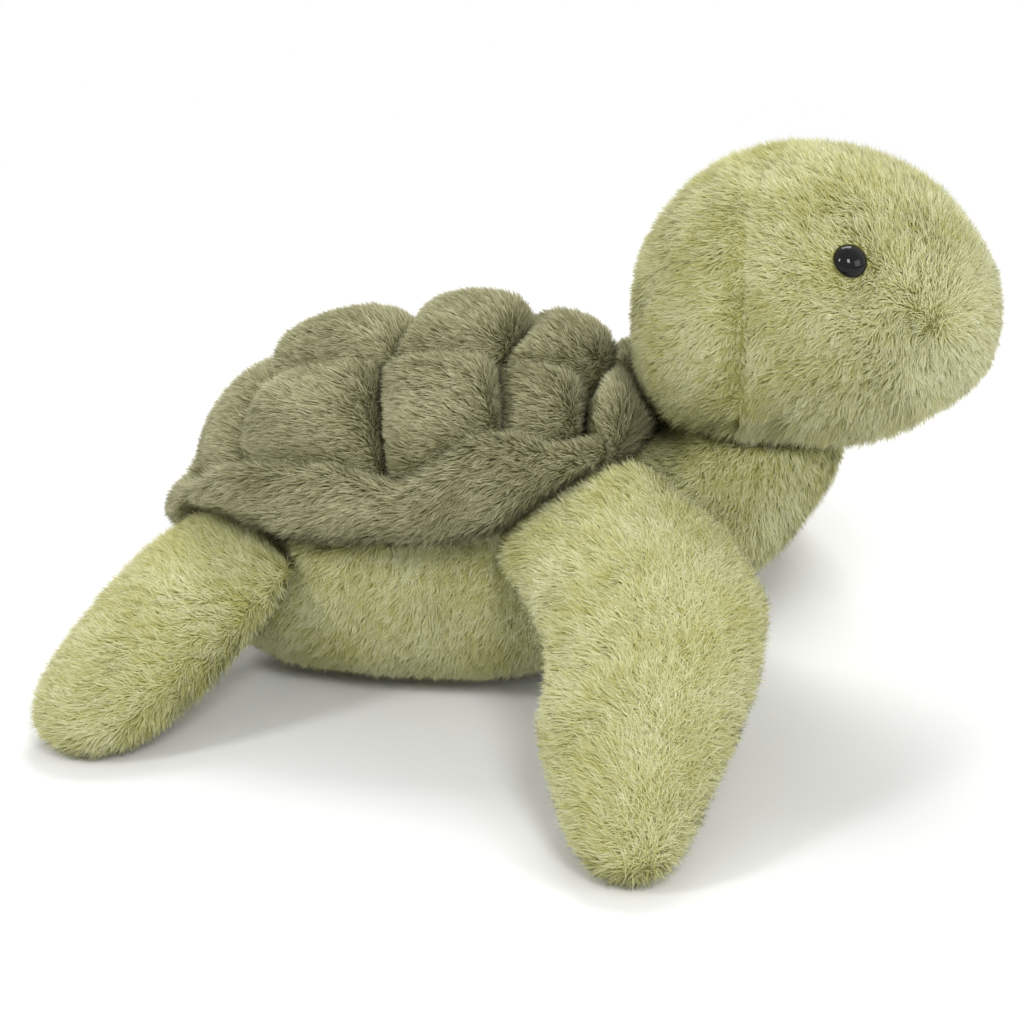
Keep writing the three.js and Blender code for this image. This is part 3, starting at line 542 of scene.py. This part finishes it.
def headShape(points, normals):
    crease = np.exp(-(pastSeam(points) / headPlan["creaseWidth"]) ** 2)
    crease *= np.clip(belowCrown(points), headPlan["creaseLeft"], 1) * headPlan["creaseDepth"]
    crease *= np.clip((points[:, 2] - headPlan["creaseFoot"]) / headPlan["footFade"], 0, 1)
    far = fromEyes(points)
    socket = np.exp(-((far - headPlan["socketPlace"]) / headPlan["socketSize"]) ** 2)
    socket *= headPlan["socketDepth"]
    socket -= np.exp(-(far / headPlan["bedSize"]) ** 2) * headPlan["bedRise"]
    return points - normals * (crease + socket)[:, None]


def partedFlow(points):
    # hairs lean away from the seam on either side of it
    off = pastSeam(points) / headPlan["parting"]
    part = np.sign(off) * np.exp(-off ** 2) * np.clip(belowCrown(points), 0, 1)
    return part[:, None] * np.array([headPlan["partingPull"], 0, 0])


def fromWhorl(points):
    # where each point lies from the whorl on its side of the nose
    level = np.ones(len(points))
    side = np.tanh(points[:, 1] / headPlan["whorlFade"])
    return points - np.array(headPlan["whorl"]) * np.stack([level, side, level], axis=1)


def faceFlow(points):
    # hairs fan out from the whorls
    fan = fromWhorl(points)
    fan /= np.linalg.norm(fan, axis=1, keepdims=True) + headPlan["whorlSize"]
    fan[:, 1] *= np.clip((np.abs(points[:, 1]) - headPlan["bridge"]) / headPlan["cheek"], 0, 1)
    return fan * headPlan["fan"] + np.array(headPlan["faceFall"]) + partedFlow(points)


def paintedNoseLight(points):
    # painted light: the pile is painted paler where it fans out, to cancel the shade among its roots on the
    # nose
    return headPlan["noseLightPainted"] * np.exp(-(fromWhorl(points) ** 2).sum(1) / headPlan["noseLightPaintedSize"] ** 2)


def headBackFlow(points):
    aside = np.array([0, headPlan["backSpread"], 0])
    sideways = np.tanh(points[:, 1] / headPlan["backFade"])[:, None] * aside
    return np.array(headPlan["backFall"]) + sideways + partedFlow(points)


eyes = {}
for side in sides:
    washerPoints = arraysOf(frame["nodes"][f"eye_washer_{side}"])[0]
    eyePoints = arraysOf(frame["nodes"][f"eye_{side}"])[0]
    inner = (washerPoints.min(0) + washerPoints.max(0)) / 2
    outer = eyePoints[np.abs(eyePoints[:, 1]) > abs(inner[1])]
    apex = outer[np.argmax(((outer - inner) ** 2).sum(1))]
    axis = (apex - inner) / np.linalg.norm(apex - inner)
    eyes[side] = {"apex": apex, "axis": axis, "base": apex - axis * headPlan["eyeDepth"]}


def fromEyes(points):
    # how far each point is from the nearer eye's own axis, and further where it lies deep inside
    found = []
    for eye in eyes.values():
        away = points - eye["base"]
        depth = away @ eye["axis"]
        found.append(np.linalg.norm(away - depth[:, None] * eye["axis"], axis=1)
                     + headPlan["pastReach"] * np.maximum(-depth - headPlan["eyeReach"], 0))
    return np.minimum(*found)


def headLengths(points):
    # hairs are shorter close to the eyes and, below the crown, along the seam
    crown = np.clip((points[:, 2] - headPlan["creaseTop"]) / headPlan["crownFade"] + 1, 0, 1)
    seam = np.clip(np.abs(pastSeam(points)) / headPlan["creaseShort"], headPlan["seamShare"], 1)
    # and longer at the foot, where they hang down over the neck
    foot = np.clip((headPlan["foot"] - points[:, 2]) / headPlan["footSize"], 0, 1)
    seam = np.maximum(seam, np.maximum(crown, foot))
    eye = np.clip((fromEyes(points) - headPlan["eyeShort"]) / headPlan["eyeFade"], headPlan["eyeShare"], 1)
    return eye * seam * (1 + headPlan["footLonger"] * foot)


def aboveStem(points):
    return points[:, 2] > headPlan["stem"]


headCloth = forms["headCloth"]
place(headCloth, headShape(*arraysOf(headCloth)[:2]))
growPile("facePile", headCloth, "head", greenPile, faceFlow, 11, shorten=headLengths, lighten=paintedNoseLight,
         keep=lambda p, n: (pastSeam(p) >= 0) & aboveStem(p) & (fromEyes(p) > headPlan["eyeBare"]))
growPile("headBackPile", headCloth, "head", greenPile, headBackFlow, 12, shorten=headLengths,
         keep=lambda p, n: (pastSeam(p) < 0) & aboveStem(p))

# Eyes: glossy domes on their shanks; below the dome the outline runs down to the washer
eyePlan = {
    "radius": 6.0 * mm, "rise": 4.5 * mm,
    "turns": [90, 100, 108, 116, 126, 180],
    "radii": [6.0, 5.9, 5.5, 2.0, 1.6, 0],
    "heights": [-4.5, -5.0, -5.3, -5.4, -5.8, -11.0],
}


def eyePiece(side):
    bpy.ops.mesh.primitive_uv_sphere_add(segments=64, ring_count=60, radius=1.0)
    piece = bpy.context.object
    piece.name = piece.data.name = f"eye_{side}_dome"
    points = arraysOf(piece)[0]
    turn = np.arccos(np.clip(points[:, 2], -1, 1))
    ring = unit(points * np.array([1, 1, 0]) + np.array([1e-9, 0, 0]))
    below = np.degrees(turn)
    radius = np.where(below < 90, np.sin(turn) * eyePlan["radius"],
                      np.interp(below, eyePlan["turns"], eyePlan["radii"]) * mm)
    height = np.where(below < 90, (np.cos(turn) - 1) * eyePlan["rise"],
                      np.interp(below, eyePlan["turns"], eyePlan["heights"]) * mm)
    axis = Vector(eyes[side]["axis"])
    turned = np.array(axis.to_track_quat("Z", "Y").to_matrix())
    points = (ring * radius[:, None] + np.outer(height, (0, 0, 1))) @ turned.T
    place(piece, points + eyes[side]["apex"])
    bpy.ops.object.shade_smooth()
    dress(piece, "eyeBlack")
    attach(piece, "head")
    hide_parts(f"eye_{side}")


for side in sides:
    eyePiece(side)

# Neck: the stuffed ball that the head turns on
growPile("neckPile", forms["neckCloth"], "neck", greenPile, headBackFlow, 14,
         keep=lambda p, n: n[:, 2] > -0.6)


# Body: sides, belly and neck in one stuffed form, bare where the shell lies on it
bodyPlan = {
    "slope": 11.3, "shellFoot": (-3 * mm, 61.4 * mm), "bareAbove": 4 * mm, "neckFrom": 78 * mm,
    "fall": (-0.45, 0, -0.85), "spread": 0.25,
}


def bodyFlow(points):
    sideways = np.sign(points[:, 1])[:, None] * np.array([0, bodyPlan["spread"], 0])
    return np.array(bodyPlan["fall"]) + sideways


def underShell(points):
    # height over the shell's tilted base plane
    slope = math.radians(bodyPlan["slope"])
    x, z = bodyPlan["shellFoot"]
    return (points[:, 2] - z) * math.cos(slope) - (points[:, 0] - x) * math.sin(slope)


def outsideShell(points):
    return (underShell(points) < bodyPlan["bareAbove"]) | (points[:, 0] > bodyPlan["neckFrom"])


for side, sign in sides.items():
    growPile(f"bodyPile_{side}", forms["bodyCloth"], "body", greenPile, bodyFlow, 21 + sign,
             keep=lambda p, n: (p[:, 1] * sign >= 0) & outsideShell(p))

# Flippers: root and tip in millimetres, chord across them, and the share of the pile's flow each way
flipperPlans = {
    "front": {
        "root": (62, 54, 78), "tip": (94, 198, 6), "chord": (0.97, 0, 0.1),
        "along": -0.12, "across": -0.35, "fan": 0.45, "seed": 31,
    },
    "rear": {
        "root": (-50, 51, 55), "tip": (-108, 122, 5), "chord": (0.69, 0.72, 0),
        "along": 0.3, "across": -0.4, "fan": 0.45, "seed": 41,
    },
}
flipperSpread = {"middle": 12 * mm, "half": 34 * mm}
for end, plan in flipperPlans.items():
    for side, sign in sides.items():
        stem = f"{end}_flipper_{side}"
        mirror = np.array([1, sign, 1])
        root, tip = (np.array(plan[key]) * mirror * mm for key in ("root", "tip"))
        chord = np.array(plan["chord"]) * mirror
        way = (tip - root) / np.linalg.norm(tip - root)

        def flipperFlow(points, root=root, way=way, chord=chord, plan=plan):
            wide = ((points - root) @ chord - flipperSpread["middle"]) / flipperSpread["half"]
            return way * plan["along"] + chord * (wide[:, None] * plan["fan"] + plan["across"])

        growPile(f"{end}FlipperPile_{side}", forms[f"{end}FlipperCloth_{side}"], stem, flipperPile,
                 flipperFlow, plan["seed"] + sign)

# Shell: puffed scutes and a padded rim over a dark bed, each rounding down to the seams between them
shellPlan = {
    "heart": (-10 * mm, 0, -30 * mm), "seamShare": 0.45, "seamFade": 8 * mm, "halfWidth": 60 * mm,
    # which way the pile runs on the middle line, and how fast it spreads to the sides
    "scuteFlow": ((-0.9, 0, 0.2), 0.35),
    "rimFlow": ((-0.85, 0, -0.2), 0.4),
    "collarFlow": ((-0.5, 0, 0.85), 0),
    # how deep and how far a scute or a band rounds down to the scutes and to the bands beside it
    "spine": {"scutes": (4.4 * mm, 11 * mm), "bands": (8.5 * mm, 15 * mm)},
    "side": {"scutes": (8.0 * mm, 14 * mm), "bands": (12.5 * mm, 18 * mm)},
    "tail": {"scutes": (6.5 * mm, 13 * mm), "bands": (4.5 * mm, 11 * mm)},
    "band": {"scutes": (1.2 * mm, 5 * mm), "bands": (2.0 * mm, 7 * mm)},
}
shellForms = {name: arraysOf(forms[f"{name}_cloth"])[0] for name in scutes + bands}


def apartFrom(name, group):
    # how far a point is from the nearest other piece of that group
    others = np.concatenate([shellForms[other] for other in group if other != name])
    tree = KDTree(len(others))
    for number, point in enumerate(others):
        tree.insert(point, number)
    tree.balance()
    return lambda points: np.array([tree.find(point)[2] for point in points])


def rounded(points, apart, edges):
    down = unit(points - np.array(shellPlan["heart"]))
    depth = np.zeros(len(points))
    for group, (drop, reach) in edges.items():
        depth = np.maximum(depth, drop * np.clip(1 - apart[group](points) / reach, 0, 1) ** 2)
    return points - down * depth[:, None]


def shellFlow(kind):
    middle, spread = shellPlan[kind]
    return lambda points: np.array(middle) + (
        (points[:, 1] / shellPlan["halfWidth"])[:, None] * np.array([0, spread, 0]))


flows = {name: shellFlow("scuteFlow") for name in scutes}
flows["shell_collar"] = shellFlow("collarFlow")
flows.update({f"shell_rim_{side}": shellFlow("rimFlow") for side in sides})
for number, (name, flow) in enumerate(flows.items()):
    kind = name.split("_")[0] if name in scutes else "band"
    cloth = forms[f"{name}_cloth"]
    groups = {"scutes": scutes, "bands": bands, "all": scutes + bands}
    apart = {group: apartFrom(name, members) for group, members in groups.items()}
    place(cloth, rounded(arraysOf(cloth)[0], apart, shellPlan[kind]))
    share = shellPlan["seamShare"]
    growPile(f"{name}_pile", cloth, "body", shellPile, flow, 60 + 7 * number,
             shorten=lambda p: share + (1 - share) * np.clip(apart["all"](p) / shellPlan["seamFade"], 0, 1))

# Pieces inside the toy keep their CAD shapes
inside = {"bean_pouch": "pouchCloth"}
inside.update({f"eye_washer_{side}": "washerPlastic" for side in sides})
for node, material in inside.items():
    dress(frame["nodes"][node], material)
print("pieces ready")

# Floor: a white sweep that keeps the toy's shadow and turns to plain white further out
stagePlan = {"floor": 9.0, "colour": linear(236, 236, 235), "nearEdge": 0.42, "farEdge": 0.8}
bpy.ops.mesh.primitive_plane_add(size=stagePlan["floor"], location=(0, 0, 0))
floor = bpy.context.object
floor.name = "floor"
net = Net("floorPaper")
spot = net.node("ShaderNodeTexCoord", None, None, out=3)
grain = net.node("ShaderNodeTexNoise", None, {"Vector": spot, "Scale": 6.0, "Detail": 2.0})
away = net.node("ShaderNodeVectorMath", {"operation": "LENGTH"}, {0: spot}, out=1)
outer = net.node("ShaderNodeMapRange", {"interpolation_type": "SMOOTHSTEP"},
                 {"Value": away, "From Min": stagePlan["nearEdge"], "From Max": stagePlan["farEdge"]})
seen = net.node("ShaderNodeLightPath", None, None, out=0)
paper = net.mix(grain * 0.15, rgba(stagePlan["colour"]), (1, 1, 1, 1))
plain = net.node("ShaderNodeBsdfPrincipled", None, {
    "Base Color": paper, "Roughness": 0.9, "Specular IOR Level": 0.1})
glow = net.node("ShaderNodeEmission", None, {"Color": (1, 1, 1, 1), "Strength": 1.0})
sweep = net.node("ShaderNodeMixShader", None, {0: seen * outer, 1: plain, 2: glow})
floor.data.materials.append(net.finish(sweep))

# World: plain white where the camera and the glossy eyes see it, dimmer as a light
worldPlan = {"light": 0.56, "seen": 1.0}
world = bpy.data.worlds.new("studio")
scene.world = world
world.use_nodes = True
tree = world.node_tree
tree.nodes.clear()
path = tree.nodes.new("ShaderNodeLightPath")
ambient = tree.nodes.new("ShaderNodeBackground")
ambient.inputs["Color"].default_value = (1, 1, 1, 1)
ambient.inputs["Strength"].default_value = worldPlan["light"]
white = tree.nodes.new("ShaderNodeBackground")
white.inputs["Color"].default_value = (1, 1, 1, 1)
white.inputs["Strength"].default_value = worldPlan["seen"]
seenWhite = tree.nodes.new("ShaderNodeMath")
seenWhite.operation = "MAXIMUM"
choice = tree.nodes.new("ShaderNodeMixShader")
output = tree.nodes.new("ShaderNodeOutputWorld")
tree.links.new(path.outputs["Is Camera Ray"], seenWhite.inputs[0])
tree.links.new(path.outputs["Is Glossy Ray"], seenWhite.inputs[1])
tree.links.new(seenWhite.outputs[0], choice.inputs[0])
tree.links.new(ambient.outputs[0], choice.inputs[1])
tree.links.new(white.outputs[0], choice.inputs[2])
tree.links.new(choice.outputs[0], output.inputs["Surface"])

# Softboxes: place, width and height in metres, power in watts, all aimed at the toy
lampAim = Vector((0.03, 0, 0.06))
lamps = {
    "topBox": {"place": (0.0, 1.0, 1.3), "size": (0.9, 0.9), "power": 18},
    "keyBox": {"place": (0.5, -1.22, 1.1), "size": (0.36, 0.5), "power": 10},
    "sideBox": {"place": (-0.95, -0.85, 0.85), "size": (0.25, 0.4), "power": 7},
    "noseBox": {"place": (1.25, -0.5, 0.55), "size": (0.7, 0.6), "power": 4},
}
for name, plan in lamps.items():
    data = bpy.data.lights.new(name, "AREA")
    data.shape = "RECTANGLE"
    data.size, data.size_y = plan["size"]
    data.energy = plan["power"]
    lamp = bpy.data.objects.new(name, data)
    scene.collection.objects.link(lamp)
    lamp.location = plan["place"]
    lamp.rotation_euler = (lampAim - lamp.location).to_track_quat("-Z", "Y").to_euler()

# Camera: azimuth and elevation in degrees, lens and sensor in the camera's own millimetres
cameraPlan = {
    "azimuth": 9, "elevation": 20, "distance": 1100 * mm, "target": (31 * mm, 0, 52 * mm),
    "lens": 107.42, "sensor": 36,
}
azimuth, elevation = math.radians(cameraPlan["azimuth"]), math.radians(cameraPlan["elevation"])
flat = math.cos(elevation)
back = Vector((math.sin(azimuth) * flat, -math.cos(azimuth) * flat, math.sin(elevation)))
cameraData = bpy.data.cameras.new("camera")
cameraData.lens = cameraPlan["lens"]
cameraData.sensor_width = cameraPlan["sensor"]
camera = bpy.data.objects.new("camera", cameraData)
scene.collection.objects.link(camera)
camera.location = Vector(cameraPlan["target"]) + back * cameraPlan["distance"]
camera.rotation_euler = (-back).to_track_quat("-Z", "Y").to_euler()
scene.camera = camera
scene.view_settings.view_transform = "Standard"
print("stage ready")
meshes = [piece.data for piece in scene.objects if piece.type == "MESH"]
print("triangles", sum(len(mesh.loop_triangles) or len(mesh.polygons) for mesh in meshes))
